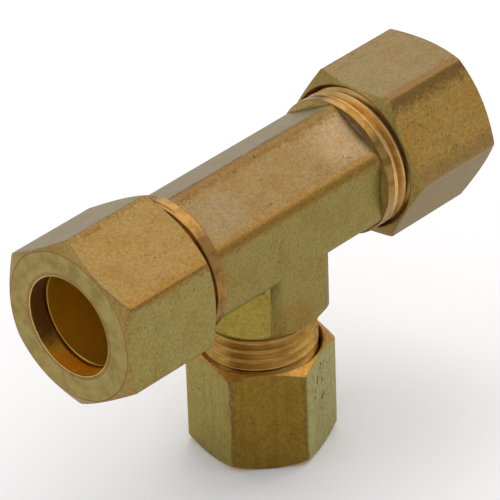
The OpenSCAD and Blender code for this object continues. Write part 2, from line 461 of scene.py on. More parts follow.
def dark_marks(place, true_place, bends, speckle, scars):
    """How dark and deep each spot is; speckle and scars say where, and how fine."""
    crowd = place.noise(0.5, 2.0, 0.6).between(0.50, 0.70)
    dark = spots(place.stretched((1, 1, 1), (7, 3, 5)), **PITS) * (0.25 + crowd * 0.75)
    for centre, size in speckle:
        freckles = spots(place, **FRECKLES) * near(true_place, centre, size)
        dark = dark.maths("MAXIMUM", dark, freckles * FRECKLE_DEPTH)
    for centre, size, fine in scars:
        bent = place.vector("MULTIPLY_ADD", bends, SCRATCH_BEND, place)
        strokes = spots(bent.stretched(SCRATCH_PULL, (2, 9, 4)), fine, **SCRATCHES)
        dark = dark.maths("MAXIMUM", dark, strokes * near(true_place, centre, size) * SCRATCH_DEPTH)
    return dark


print("one cell in", round(1 / PITS["share"]), "has a pit")

# %% [markdown]
# ## The metal under the marks
#
# Where no flat has a colour of its own, on the rounded edges, the brass is
# olive, in two shades that drift into each other. Tarnish warms it: a tint
# multiplies the colour, and takes away more blue than red. Grain, and the marks
# that drawing left along the bar, make all of it lighter and darker.

# %% Tint and shade the metal
OLIVE = (0.285, 0.222, 0.062, 1)
OLIVE_DEEP = tuple(0.8 * c for c in OLIVE[:3]) + (1,)
WARM_TINT = (0.94, 0.84, 0.68)


def warmed(colour, clouds, wide_clouds):
    """The colour with warm tarnish where the clouds are thick."""
    warm = wide_clouds.between(0.48, 0.62) * 0.6 + clouds.between(0.50, 0.66) * 0.5
    return warm.mix(colour, colour.vector("MULTIPLY", colour, WARM_TINT))


def light_and_dark(place, clouds, grain, marks):
    """The factor by which each spot is lighter or darker than its colour."""
    shade = (0.80 + clouds * 0.40) * (0.34 + grain * 1.32)
    if marks:
        stretch, strength = marks
        drawn = place.stretched(stretch).noise(1.0, 4.0, 0.65)
        shade = shade * (1 - strength / 2 + drawn * strength)
    return shade


print("the brass is", OLIVE, "with shades of", OLIVE_DEEP)

# %% [markdown]
# ## Tumbled brass
#
# The whole finish is a stack of coats, laid in the order in which the metal got
# them. First come the colours of the flats and the turned chamfers, then
# tarnish, then the edges that rubbing wore brown, then grain. Last come a fine
# painted sparkle, lighter dots that stand in for crystals catching the light,
# and the dark marks.

# %% Mix the tumbled finish
SPARKLE = {"scale": 3.6, "share": 0.22, "size": 0.20}
SPARKLE_COLOUR, SPARKLE_STRENGTH = (0.85, 0.66, 0.40, 1), 0.32
PIT_COLOUR, PIT_STRENGTH = (0.045, 0.028, 0.010, 1), 0.80
GRAIN_HEIGHT, CLOUD_HEIGHT, PIT_DEPTH = 0.016, 0.03, 0.05


def tumbled_brass(
    name, axis, flats, edges, fade, patches=(), cone=None, marks=None, speckle=(), scars=(), seed=0.0
):
    """Dull metal for one piece, with what sets it apart from the others.

    flats are (direction, colour) pairs, and fade is how near a face must come to that
    direction. patches are (centre, size, colour), cone is the colour of turned chamfers, and
    marks are the stretch and the strength of the lines along the bar.
    """
    material, shader, true_place, facing = start_material(name)
    place = true_place.stretched((1, 1, 1), (seed, seed, seed))
    clouds = place.noise(0.9, 4.0, 0.6)
    wide_clouds = place.noise(0.28, 3.0, 0.6)
    grain = place.noise(2.3, 4.0, 0.7)

    colour = clouds.between(0.35, 0.65).mix(OLIVE, OLIVE_DEEP)
    colour = flat_colours(colour, facing, clouds - 0.5, flats, fade)
    for centre, size, patch_colour in patches:
        colour = near(true_place, centre, size).mix(colour, patch_colour)
    endwise = facing.toward((1, 0, 0) if axis == "run" else (0, 0, 1))
    ends = (endwise * endwise).between(0.4, 0.6)
    if cone:
        colour = ends.mix(colour, cone)

    colour = warmed(colour, clouds, wide_clouds)
    colour = worn_edges(colour, true_place, axis, clouds - 0.5, grain - 0.5, 1 - ends, edges)
    colour = colour.dimmed(light_and_dark(place, clouds, grain, marks))

    # Painted sparkle: lighter dots in the colour stand in for glints of light.
    colour = (spots(place, **SPARKLE) * SPARKLE_STRENGTH).mix(colour, SPARKLE_COLOUR)
    dark = dark_marks(place, true_place, clouds.also(1), speckle, scars)
    colour = (dark * PIT_STRENGTH).mix(colour, PIT_COLOUR)
    rough = 0.40 + grain * 0.16 + dark * 0.2
    height = grain * GRAIN_HEIGHT + clouds * CLOUD_HEIGHT - dark * PIT_DEPTH
    feed(shader, colour, rough, height)
    print(name, "has", len(flats), "flats and", len(edges), "worn edges")
    return material


print("pits are", PIT_DEPTH, "mm deep")

# %% [markdown]
# ## The tee's own colours
#
# The tee's hexagon lies along the run and the branch is a hexagon of its own,
# so flats are named by their angle from the front, round one axis or the other.
# Two upper flats are tan and grey, and the branch's front left one is the
# yellowest. These colours are partly tarnish and partly painted light and shade
# for the way those flats face. The ends of the run's hexagon are freshly faced.
# A few patches and one cluster of scratches break them up, and one patch is a
# painted highlight on the tan flat beside the right spigot.

# %% Colour the tee
TAN = (0.256, 0.175, 0.070, 1)
GREY = (0.276, 0.216, 0.103, 1)
YELLOW = (0.372, 0.282, 0.055, 1)
FACED_END = (0.42, 0.30, 0.115, 1)

# Partly tarnish, partly painted light and shade: tan on the flat that faces up and forward, grey on the
# one that faces up and back.
TEE_FLATS = [(leaning("run", angle), OLIVE) for angle in (0, 180, 240, 300)]
TEE_FLATS += [(leaning("run", 60), TAN), (leaning("run", 120), GREY)]
TEE_FLATS += [(leaning("branch", angle), OLIVE) for angle in (60, 120, 240)]
TEE_FLATS += [(leaning("branch", 300), YELLOW)]
TEE_FLATS += [((-1, 0, 0), FACED_END), ((1, 0, 0), FACED_END)]
TEE_BRASS = tumbled_brass(
    "tumbled_tee_brass",
    "run",
    TEE_FLATS,
    [(30, 1, 0.12, 0.85, WORN_LIGHT), (90, -1, 0.12, 0.85, WORN_DARK)],
    fade=(0.955, 0.99),
    patches=[
        # The first patch is painted light: it lightens the tan flat beside the right spigot against the
        # shade that the spigot's ring casts on it.
        ((14.5, -4.4, 7.6), (9.0, 6.0, 6.0), (0.36, 0.258, 0.135, 1)),
        ((-12.0, -4.4, 7.6), (7.0, 5.0, 5.0), (0.262, 0.188, 0.090, 1)),
        ((-2.5, -9.0, -12.0), (6.0, 4.0, 4.5), (0.280, 0.185, 0.040, 1)),
    ],
    scars=[((-5.3, -8.75, 0.4), (1.9, 2.0, 2.7), 1.7)],
)

# %% [markdown]
# ## Turned brass
#
# Threads, holes, seats and end faces are cut on a lathe. They are brighter and
# more orange than the flats, with fine lines round the axis: a pattern that
# changes with the distance from the axis and along it, and hardly at all with
# the angle. Dark rings are laid on by radius: painted shade in each nut's flared
# mouth round the thread, and rings on the nut's face. The plain metal beside the
# run's hexagon is made darker and browner.

# %% Mix the turned finish
LINES_PER_MM = 7.0
LINES_ROUND = 0.6
# The colour of the dark rings: painted shade in a nut's mouth and round its hole, and a dark line at a
# face's rim.
DARK_RING_COLOUR = (0.15, 0.07, 0.018, 1)
DULL_LIGHT, DULL_DEEP = (0.33, 0.18, 0.048, 1), (0.22, 0.115, 0.026, 1)
DULL_FADE = 0.1


def turned_brass(name, axis, bright, deep, rough_base, ringed=0.44, dark_rings=(), dull=(), sides=()):
    """Metal with lathe lines round an axis, as strong as ringed says.

    The dark rings are (inner radius, outer radius, strength): painted shade in a nut's
    mouth and round its hole, and a dark line at a face's rim. dull is stretches along the
    axis, made darker and browner, and sides are (direction, colour) pairs that colour a
    wall by the way it faces, which in the run nuts' holes is painted light and shade.
    """
    material, shader, place, facing = start_material(name)
    parts = place.node("ShaderNodeSeparateXYZ", None, {0: place})
    x, y, z = parts, parts.also(1), parts.also(2)
    side, length = (x, z) if axis == "branch" else (z, x)
    radius = (side * side + y * y) ** 0.5
    angle = side.maths("ARCTAN2", side, y)
    turned = {"X": radius * LINES_PER_MM, "Y": length * LINES_PER_MM, "Z": angle * LINES_ROUND}
    lines = place.node("ShaderNodeCombineXYZ", None, turned).noise(1.0, 3.0, 0.6)
    clouds = place.noise(0.5, 3.0, 0.6)
    grain = place.noise(3.2, 4.0, 0.75)

    colour = clouds.between(0.35, 0.7).mix(bright, deep)
    # In the run nuts' holes these colours are painted light and shade, set by the way each wall faces.
    for direction, side_colour in sides:
        facing_mask = (facing.toward(direction) + clouds * 0.3).between(0.60, 1.0)
        colour = facing_mask.mix(colour, side_colour)
    colour = colour.dimmed((1 - ringed / 2 + lines * ringed) * (0.84 + grain * 0.32))
    for low, high in dull:
        here = length.between(low, low + DULL_FADE) * length.between(high, high - DULL_FADE)
        dull_colour = clouds.between(0.42, 0.66).mix(DULL_LIGHT, DULL_DEEP)
        colour = (here * (0.7 + lines * 0.5)).mix(colour, dull_colour)
    # Dark rings by radius: painted shade in a nut's mouth and round its hole.
    for inner, outer, strength in dark_rings:
        soft = (outer - inner) / 4
        ring_mask = radius.between(inner, inner + soft) * radius.between(outer, outer - soft)
        colour = (ring_mask * (0.5 + lines) * strength).mix(colour, DARK_RING_COLOUR)
    feed(shader, colour, rough_base + lines * 0.12, lines * (0.014 * ringed) + grain * 0.006)
    return material


print("lathe lines are", round(1 / LINES_PER_MM, 2), "mm apart")

# %% [markdown]
# ## Four turned finishes
#
# One recipe makes all the machined surfaces. Threads keep a bright, sharp cut.
# A nut's end face is duller, with a dark ring at its rim and a ring of painted
# shade round its hole. The bore of the tee is smooth and golden, and brown on
# the steps that face along the run. The walls of the run nuts' holes are
# coloured by the way they face, as painted light and shade: dark brown on the
# wall that faces the front, bright orange on the lit floor. Each finish is made
# once for the run and once for the branch.

# %% Make the turned finishes
# Stretches of the run's thread beside the hexagon that are made darker and browner.
RUN_DULL = [(-19.3, -15.9), (15.4, 16.9)]
THREAD_LOOK = {
    "run": dict(bright=(0.62, 0.40, 0.15, 1), deep=(0.50, 0.29, 0.085, 1), rough_base=0.26, dull=RUN_DULL),
    "branch": dict(bright=(0.53, 0.31, 0.077, 1), deep=(0.42, 0.226, 0.045, 1), rough_base=0.36),
}
FACE_LOOK = dict(bright=(0.34, 0.26, 0.08, 1), deep=(0.255, 0.18, 0.048, 1), rough_base=0.38, ringed=0.5)
BORE_LOOK = dict(bright=(0.95, 0.72, 0.10, 1), deep=(0.93, 0.62, 0.08, 1), rough_base=0.31, ringed=0.12)
BORE_SIDES = [((-1, 0, 0), (0.45, 0.27, 0.06, 1)), ((1, 0, 0), (0.45, 0.27, 0.06, 1))]
HOLE_LOOK = dict(bright=(0.95, 0.62, 0.08, 1), deep=(0.90, 0.50, 0.05, 1), rough_base=0.52, ringed=0.3)
# Painted shade on the wall that faces the front, and painted light on the floor of each run nut's hole.
HOLE_PAINTED_LIGHT_AND_SHADE = {
    "run": [((0, -1, 0), (0.22, 0.11, 0.03, 1)), ((0, 0.4, 0.92), (1.0, 0.43, 0.02, 1))],
    "branch": [],
}

TURNED, FACED, BORE, HOLE = {}, {}, {}, {}
for port in (PORTS["left"], PORTS["branch"]):
    axis, crest = port["axis"], port["crest"]
    # Painted shade in the nut's flared mouth; on its face, a dark line at the rim and a ring of painted
    # shade round the hole.
    mouth_painted_shade = [(crest + 0.06, crest + 0.62, 0.75)]
    face_dark_rings = [(crest + 0.64, crest + 0.80, 0.8), (crest - 2.85, crest - 2.2, 0.45)]
    TURNED[axis] = turned_brass(f"turned_{axis}_brass", axis, dark_rings=mouth_painted_shade, **THREAD_LOOK[axis])
    FACED[axis] = turned_brass(f"faced_{axis}_brass", axis, dark_rings=face_dark_rings, **FACE_LOOK)
    BORE[axis] = turned_brass(f"bored_{axis}_brass", axis, sides=BORE_SIDES, **BORE_LOOK)
    HOLE[axis] = turned_brass(f"hole_{axis}_brass", axis, sides=HOLE_PAINTED_LIGHT_AND_SHADE[axis], **HOLE_LOOK)
print("made", [material.name for kind in (TURNED, FACED, BORE, HOLE) for material in kind.values()])

# %% [markdown]
# ## Rings and walls
#
# Nearly everything here is round, so a few small tools build it. `grow`
# extrudes an open rim and moves the new vertices, which is how a ring turns
# into a hexagon without a cut. `spin` turns an outline once round the axis, and
# can climb as it turns. `cut` slices a shape with a level plane.

# %% Grow, spin and cut
ROUND = 96
ON_PLANE = 1e-5


def grow(shape, rim, place, slot):
    """Extrudes an open rim of edges and puts each new vertex where place says."""
    made = bmesh.ops.extrude_edge_only(shape, edges=rim)["geom"]
    fresh = {item for item in made if isinstance(item, bmesh.types.BMVert)}
    for vert in fresh:
        vert.co = place(vert.co)
    for face in made:
        if isinstance(face, bmesh.types.BMFace):
            face.material_index = slot
    edges = [item for item in made if isinstance(item, bmesh.types.BMEdge)]
    return [edge for edge in edges if fresh.issuperset(edge.verts)]


def spin(shape, outline, climb=0.0):
    """Spins (radius, height) points once round the axis, as they climb this far."""
    verts = [shape.verts.new((radius, 0, height)) for radius, height in outline]
    bmesh.ops.spin(
        shape,
        geom=verts + [shape.edges.new(pair) for pair in zip(verts, verts[1:])],
        cent=(0, 0, 0),
        axis=(0, 0, 1),
        dvec=(0, 0, climb / ROUND),
        angle=math.tau,
        steps=ROUND,
        use_merge=climb == 0,
    )


def cut(shape, height, keep_below=None):
    """Cuts a shape with a level plane, and drops one side if it is told which to keep."""
    bmesh.ops.bisect_plane(
        shape,
        geom=shape.verts[:] + shape.edges[:] + shape.faces[:],
        dist=ON_PLANE,
        plane_co=(0, 0, height),
        plane_no=(0, 0, 1),
        clear_outer=keep_below is True,
        clear_inner=keep_below is False,
    )


print("a round wall has", ROUND, "sides, each of", 360 / ROUND, "degrees")

# %% [markdown]
# ## A true screw thread
#
# Rings of grooves would be quicker, but they don't climb, and the thread is
# seen side on between the tee and its nuts. So one outline is spun once round
# as it climbs a pitch, copies of that turn are stacked on it, and the stack is
# cut level at both ends. A chamfer or a collar is then only a limit on how far
# out a vertex may be.

# %% Turn a screw
WELD = 1e-4


def screw(shape, outline, pitch, low, high, limit, levels=()):
    """A helical wall from low to high, with each radius kept to limit(radius, height).

    levels are heights where the limit has a corner, so the wall needs vertices there.
    """
    below = low - 2 * pitch + (outline[0][1] - low) % pitch - outline[0][1]
    spin(shape, [(radius, height + below) for radius, height in outline], pitch)
    one_turn = shape.verts[:] + shape.edges[:] + shape.faces[:]
    for turn in range(1, math.ceil((high - low) / pitch) + 3):
        made = bmesh.ops.duplicate(shape, geom=one_turn)["geom"]
        verts = [item for item in made if isinstance(item, bmesh.types.BMVert)]
        bmesh.ops.translate(shape, verts=verts, vec=(0, 0, turn * pitch))
    bmesh.ops.remove_doubles(shape, verts=shape.verts, dist=WELD)
    for level in levels:
        cut(shape, level)
    for vert in shape.verts:
        radius = math.hypot(vert.co.x, vert.co.y)
        scale = limit(radius, vert.co.z) / radius
        vert.co.x, vert.co.y = vert.co.x * scale, vert.co.y * scale
    cut(shape, low, keep_below=False)
    cut(shape, high, keep_below=True)


print("turns are welded within", WELD, "mm")

# %% [markdown]
# ## Closing a shape
#
# A wall cut level leaves an open rim, and two rims at one height leave a flat
# ring between them. Filling that ring with triangles closes the shape whatever
# the number of points on each rim. A closed shape has no edge with fewer or
# more than two faces, and counting those that do is the quickest check.

# %% Close and join
SAME_LEVEL = 1e-3
RIM_WELD = 4e-3


def open_edges(shape, height):
    """The edges of openings at one height."""
    level = [v for v in shape.verts if abs(v.co.z - height) < SAME_LEVEL]
    around = {edge for vert in level for edge in vert.link_edges if edge.is_boundary}
    return [edge for edge in around if all(abs(v.co.z - height) < SAME_LEVEL for v in edge.verts)]


def close(shape, height):
    """Fills the flat ring between the openings at one height."""
    rim_verts = {vert for edge in open_edges(shape, height) for vert in edge.verts}
    bmesh.ops.remove_doubles(shape, verts=list(rim_verts), dist=RIM_WELD)
    rim = open_edges(shape, height)
    bmesh.ops.triangle_fill(shape, edges=rim, use_beauty=True, normal=(0, 0, 1))


def paint(shape, slot):
    """Gives a material slot to every face that still has the first one."""
    for face in shape.faces:
        if face.material_index == 0:
            face.material_index = slot


def join(shape, part):
    """Adds another shape to this one, and frees it."""
    loose = bpy.data.meshes.new("loose")
    part.to_mesh(loose)
    part.free()
    shape.from_mesh(loose)
    bpy.data.meshes.remove(loose)


def open_count(shape):
    """How many edges are not closed by exactly two faces."""
    return sum(not edge.is_manifold for edge in shape.edges)


print("rims are found within", SAME_LEVEL, "mm of a height")

# %% [markdown]
# ## From a shape to a piece
#
# A closed shape gets its outward normals, its materials and its object, which
# stays at the origin with its place in its mesh. Sharp edges, and a modifier
# that leans the shading toward the larger faces, keep flats looking flat beside
# their small bevels.

# %% Finish a piece
SHARP_FOLD = 30


def finish_piece(shape, name, materials, sharp=SHARP_FOLD):
    """Turns a shape into an object whose smooth faces meet at sharp edges."""
    bmesh.ops.recalc_face_normals(shape, faces=shape.faces)
    mesh = bpy.data.meshes.new(name)
    shape.to_mesh(mesh)
    shape.free()
    for material in materials:
        mesh.materials.append(material)
    mesh.shade_smooth()
    mesh.set_sharp_from_angle(angle=math.radians(sharp))
    piece = bpy.data.objects.new(name, mesh)
    bpy.context.scene.collection.objects.link(piece)
    even = piece.modifiers.new("even_shading", "WEIGHTED_NORMAL")
    even.weight, even.keep_sharp = 100, True
    print(name, len(mesh.vertices), "vertices", len(mesh.polygons), "faces")
    return piece


print("an edge is sharp from", SHARP_FOLD, "degrees")

# %% [markdown]
# ## The thread's outline
#
# A metric thread of 1.5 mm pitch has flanks at 60 degrees, a flat crest and a
# flat root. The screw tool needs one pitch of it, crest in the middle. The
# corners are rounded a little, because real ones are never sharp and a sharp
# crest would catch no light. `FIRST_CREST` is how far from the tee's middle a
# crest of each port lies, so that each helix follows the rings of the
# construction model.

# %% Draw one pitch
PITCH = 1.5
THREAD_DEPTH = 0.6134 * PITCH
CREST_FLAT = PITCH / 8
ROOT_FLAT = PITCH / 4
CREST_DROP, CREST_SIDE = 0.1, 0.07
ROOT_RISE, ROOT_SIDE = 0.03, 0.06
FIRST_CREST = {"left": 16.0, "right": 15.95, "branch": 14.87}


def thread_outline(crest_radius, crest_height):
    """(radius, height) points over one pitch, from root to crest to root."""
    root_radius = crest_radius - THREAD_DEPTH
    half_crest, half_root = CREST_FLAT / 2, (PITCH - ROOT_FLAT) / 2
    side = [
        (root_radius, half_root + ROOT_SIDE),
        (root_radius + ROOT_RISE, half_root - ROOT_RISE),
        (crest_radius - CREST_DROP, half_crest + CREST_SIDE),
        (crest_radius - CREST_DROP / 4, half_crest),
    ]
    points = [(root_radius, -PITCH / 2)]
    points += [(radius, -height) for radius, height in side]
    points += [(crest_radius, 0)]
    points += [(radius, height) for radius, height in reversed(side)]
    points += [(root_radius, PITCH / 2)]
    return [(radius, crest_height + height) for radius, height in points]


print("thread outline", [(round(r, 2), round(z, 2)) for r, z in thread_outline(10, 0)])

# %% [markdown]
# ## A spigot
#
# Each arm of the tee ends in a threaded spigot. From the hexagon outward it has
# a plain collar on the run, the thread and a chamfered end. Inside, from the
# end inward, come the tapered seat for the sleeve's nose, the tube's socket,
# the stop that the tube's end meets, and the waterway. The outside is a screw,
# and the collar and the chamfer are a limit on its radius. It starts a hair
# inside the hexagon's end, so that the plane that cuts the old spigot away
# never lies in a face.

# %% Limit a spigot's radius
HEXAGON_END = {"left": 16.0, "right": 15.5, "branch": 14.9}
COLLAR = {"left": 1.3, "right": 1.3, "branch": 0.0}
COLLAR_EDGE = 0.1
COLLAR_FLANK = 1.6
SKIN = 0.02
OVERRUN = 0.5
RIM_STEP = 0.1


def spigot_limit(name):
    """The most that a spigot's radius may be at a height, and the heights of its corners."""
    crest, start, end = PORTS[name]["crest"], HEXAGON_END[name] - SKIN, PORTS[name]["end"]
    rim, collar = crest - THREAD_DEPTH - RIM_STEP, start + COLLAR[name]

    def limit(radius, height):
        if COLLAR[name]:
            radius = max(radius, crest - max(height - collar, 0) * COLLAR_FLANK)
            radius = min(radius, crest - COLLAR_EDGE + max(height - start, 0))
        return min(radius, rim + max(end - height, -OVERRUN))

    if COLLAR[name]:
        return limit, (start + COLLAR_EDGE, collar, collar + THREAD_DEPTH / COLLAR_FLANK)
    return limit, ()


print("collars are", COLLAR, "mm long")

# %% [markdown]
# The inside is a plain spin from the seat down to the waterway, and two flat
# rings join it to the screw. The seat is cut at the slope of the sleeve's nose,
# and stands off it by a small gap until the nut presses the two together.

# %% Build a spigot
NECK_RADIUS = {"left": 7.95, "right": 7.95, "branch": 7.0}
NECK_DEPTH = 1.0
SOCKET_PLAY = 0.03
SOCKET_DEPTH = 10
TUBE_STOP = 1.0
NOSE_WALL = 0.4
SEAT_GAP = 0.12
SEAT_ANGLE = math.radians(20)
SEAT_SLOPE = math.tan(SEAT_ANGLE)
SEAT_FOOT = NOSE_WALL + SEAT_GAP / math.cos(SEAT_ANGLE)
THREAD_SLOT = {"run": 1, "branch": 2}
BORE_SLOT = {"run": 3, "branch": 4}


def build_spigot(name):
    """One threaded arm with its bore, at its place on the tee."""
    port = PORTS[name]
    tube, start, end = port["tube"] / 2, HEXAGON_END[name] - SKIN, port["end"]
    socket, stop, neck = tube + SOCKET_PLAY, tube - TUBE_STOP, NECK_RADIUS[name]
    arm = bmesh.new()
    outline = thread_outline(port["crest"], FIRST_CREST[name])
    screw(arm, outline, PITCH, start, end, *spigot_limit(name))
    paint(arm, THREAD_SLOT[port["axis"]])
    inside = [
        (socket + SEAT_FOOT + (end - port["nose"]) * SEAT_SLOPE, end),
        (socket, port["nose"] - SEAT_FOOT / SEAT_SLOPE),
        (socket, end - SOCKET_DEPTH),
        (stop, end - SOCKET_DEPTH),
        (stop, start - NECK_DEPTH),
        (neck, start - NECK_DEPTH),
        (neck, start),
    ]
    spin(arm, inside)
    paint(arm, BORE_SLOT[port["axis"]])
    close(arm, end)
    paint(arm, THREAD_SLOT[port["axis"]])
    close(arm, start)
    bmesh.ops.recalc_face_normals(arm, faces=arm.faces)
    bmesh.ops.transform(arm, matrix=port["place"], verts=arm.verts)
    print(name, "spigot, open edges:", open_count(arm))
    return arm


print("the seat's foot is", round(SEAT_FOOT, 3), "mm wider than the socket")

# %% [markdown]
# ## The tee
#
# The hexagonal middle is right in the construction model, so a merged copy of
# it is kept, its plain ringed spigots are cut away, and the screwed ones take
# their place. The copy is made of long thin triangles, which shade badly on a
# large flat that catches the light, so the upper flats are dissolved into whole
# faces. The rest is left alone, because its small triangles carry the curve of
# the fillets.

# %% Build the tee
TEE_WELD = 1e-6
FACES_UP = 0.8
FLAT_ENOUGH = math.radians(0.2)

tee = bmesh.new()
tee.from_mesh(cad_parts["tee_body"].data)
bmesh.ops.remove_doubles(tee, verts=tee.verts, dist=TEE_WELD)
for name, port in PORTS.items():
    bmesh.ops.transform(tee, matrix=port["place"].inverted(), verts=tee.verts)
    cut(tee, HEXAGON_END[name] - SKIN, keep_below=True)
    close(tee, HEXAGON_END[name] - SKIN)
    bmesh.ops.transform(tee, matrix=port["place"], verts=tee.verts)
tee.normal_update()
upper_edges = [
    edge
    for edge in tee.edges
    if edge.link_faces and all(face.normal.z > FACES_UP for face in edge.link_faces)
]
bmesh.ops.dissolve_limit(tee, angle_limit=FLAT_ENOUGH, edges=upper_edges)
print("open edges in the middle:", open_count(tee))
for name in PORTS:
    join(tee, build_spigot(name))
print("open edges in the tee:", open_count(tee))
TEE_MATERIALS = [TEE_BRASS, TURNED["run"], TURNED["branch"], BORE["run"], BORE["branch"]]
tee_piece = finish_piece(tee, "threaded_tee", TEE_MATERIALS)
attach(tee_piece, "tee")
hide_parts("tee_body")

# %% [markdown]
# ## The nuts
#
# A compression nut is a piece of hexagon bar, turned at both ends, so a 30
# degree cone cuts its corners into the curved lines seen at each end. The same
# thing comes from rings. Each has as many points as the hexagon's outline, and
# most of them go to the rounded corners, where the bend is.

# %% Measure a hexagon with soft corners
SECTOR, HALF_SECTOR = math.pi / 3, math.pi / 6
NUT_WALL = 1.0
NUT_EDGE = 0.7
CORNER_STEPS = 8
FLAT_STEPS = 16


def hexagon_radius(angle, flat):
    """How far the hexagon reaches at an angle from its first corner."""
    lean = abs((angle + HALF_SECTOR) % SECTOR - HALF_SECTOR)
    middle = (flat - NUT_EDGE) / math.cos(HALF_SECTOR)
    under = NUT_EDGE**2 - (middle * math.sin(lean)) ** 2
    bend = math.atan2(NUT_EDGE / 2, middle + NUT_EDGE * math.cos(HALF_SECTOR))
    if lean < bend:
        return middle * math.cos(lean) + math.sqrt(under)
    return flat / math.cos(HALF_SECTOR - lean)


def hexagon_angles(flat):
    """Angles round the outline, close together on the corners."""
    middle = (flat - NUT_EDGE) / math.cos(HALF_SECTOR)
    sides = [SECTOR * (step / CORNER_STEPS - 0.5) for step in range(CORNER_STEPS + 1)]
    bend = [math.atan2(NUT_EDGE * math.sin(s), middle + NUT_EDGE * math.cos(s)) for s in sides]
    gap = (SECTOR - 2 * bend[-1]) / FLAT_STEPS
    sector = bend + [bend[-1] + gap * step for step in range(1, FLAT_STEPS)]
    return [corner * SECTOR + angle for corner in range(6) for angle in sector]


print("a 22 mm hexagon's corner reaches", round(hexagon_radius(0, 11), 2))

# %% [markdown]
# ## The rings of a nut
#
# Every ring keeps each point at the angle where it is, and only says how far
# out and how high it goes. A cone's ring lies on the hexagon, and where the
# hexagon reaches further out, the cone has cut it further down. Which way the
# corners point is read from the construction model.

# %% Place the points of a ring
FACE_INSET = 0.2
CHAMFER_SLOPE = math.tan(math.radians(30))


def corner_turn(node, place):
    """The angle of a hexagon's first corner, read from the construction model."""
    to_port = place.inverted()
    points = [to_port @ vert.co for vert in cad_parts[node].data.vertices]
    far = max(points, key=lambda p: math.hypot(p.x, p.y))
    return math.atan2(far.y, far.x)


def ring(radius, height):
    """Puts a vertex on a circle, at the angle where it is."""
    return lambda co: Vector((*(co.xy.normalized() * radius), height))


def cone_ring(flat, turn, height, way):
    """Puts a vertex where the hexagon meets the cone that starts at a height."""

    def place(co):
        reach = hexagon_radius(math.atan2(co.y, co.x) - turn, flat)
        return ring(reach, height + way * (reach - (flat - FACE_INSET)) * CHAMFER_SLOPE)(co)

    return place


for name, port in PORTS.items():
    print(name, "nut's corner at", round(math.degrees(corner_turn(f"{name}_nut", port["place"])), 1))

# %% [markdown]
# ## The outside of a nut
#
# The nut's shell grows from one ring inside it. It runs up the relief behind
# the thread, in to the hole, over the hole's rounded lip, across the end face,
# down the hexagon between its two cones, and in to the open end. Each step
# names the finish of the wall that it leaves behind.

# %% Grow a nut's shell
HOLE_PLAY = 0.1
HOLE_LENGTH = 2.4
HOLE_LIP = 0.16
LIP_BEND = 0.3
THREAD_PLAY = 0.05
THREAD_RELIEF = 0.1
THREAD_RUNOUT = 0.75
HEXAGON_SLOT, TURNED_SLOT, FACE_SLOT, HOLE_SLOT = range(4)


def nut_shell(name, flat):
    """All of a nut but its thread: relief, hole, end face and hexagon."""
    port = PORTS[name]
    low, high, hole = port["back"], port["reach"], port["tube"] / 2 + HOLE_PLAY
    relief = port["crest"] + THREAD_PLAY + THREAD_RELIEF
    face, turn = flat - FACE_INSET, corner_turn(f"{name}_nut", port["place"])
    angles = [turn + angle for angle in hexagon_angles(flat)]
    nut = bmesh.new()
    first = bmesh.ops.create_circle(nut, segments=len(angles), radius=relief)["verts"]
    for vert, angle in zip(first, angles):
        vert.co = (relief * math.cos(angle), relief * math.sin(angle), port["end"] + THREAD_RUNOUT)
    rim = nut.edges[:]
    for slot, place in (
        (HOLE_SLOT, ring(relief, high - HOLE_LENGTH - (relief - hole))),
        (HOLE_SLOT, ring(hole, high - HOLE_LENGTH)),
        (HOLE_SLOT, ring(hole, high - HOLE_LIP)),
        (TURNED_SLOT, ring(hole + HOLE_LIP * LIP_BEND, high - HOLE_LIP * LIP_BEND)),
        (TURNED_SLOT, ring(hole + HOLE_LIP, high)),
        (FACE_SLOT, ring(face, high)),
        (HEXAGON_SLOT, cone_ring(flat, turn, high, -1)),
        (HEXAGON_SLOT, cone_ring(flat, turn, low, 1)),
        (HEXAGON_SLOT, ring(face, low)),
    ):
        rim = grow(nut, rim, place, slot)
    return nut


print("a nut's hole is", HOLE_LENGTH, "mm long, with a lip of", HOLE_LIP, "mm")

# %% [markdown]
# ## The thread in a nut
#
# The thread inside a nut is the spigot's own outline, moved out by the play
# between them. It starts on the same crest, so at rest the two lie in each
# other, and they stay so as the nut climbs a pitch at each turn. At the open
# end it flares out, so that the nut finds its spigot.

# %% Screw a nut's thread
FLARE = 0.6
FLARE_LENGTH = 1.2


def nut_thread(name):
    """The helical wall inside a nut, with its flared mouth."""
    port = PORTS[name]
    low, crest = port["back"], port["crest"] + THREAD_PLAY

    def limit(radius, height):
        return max(radius, crest + FLARE - max(height - low, -OVERRUN) * (FLARE / FLARE_LENGTH))

    wall = bmesh.new()
    outline = thread_outline(crest, FIRST_CREST[name])
    screw(wall, outline, PITCH, low, port["end"] + THREAD_RUNOUT, limit, [low + FLARE_LENGTH])
    paint(wall, TURNED_SLOT)
    return wall


print("the flare opens", FLARE, "mm over", FLARE_LENGTH, "mm")

# %% [markdown]
# Shell and thread meet in two flat rings, at the open end and behind the
# thread. Then a small bevel breaks the hexagon's edges, because no real edge is
# perfectly sharp, and light runs along a broken one.

# %% Build a nut
EDGE_BREAK = 0.09
SHARP_EDGE = math.radians(16)
INSIDE_FACE = 0.01


def break_edges(nut, inside):
    """Bevels the sharp edges that lie outside a radius."""
    outer = [
        edge
        for edge in nut.edges
        if all(math.hypot(v.co.x, v.co.y) > inside for v in edge.verts)
        and edge.is_manifold
        and edge.calc_face_angle() > SHARP_EDGE
    ]
    bmesh.ops.bevel(
        nut, geom=outer, offset=EDGE_BREAK, affect="EDGES", segments=2, profile=0.5, material=-1
    )


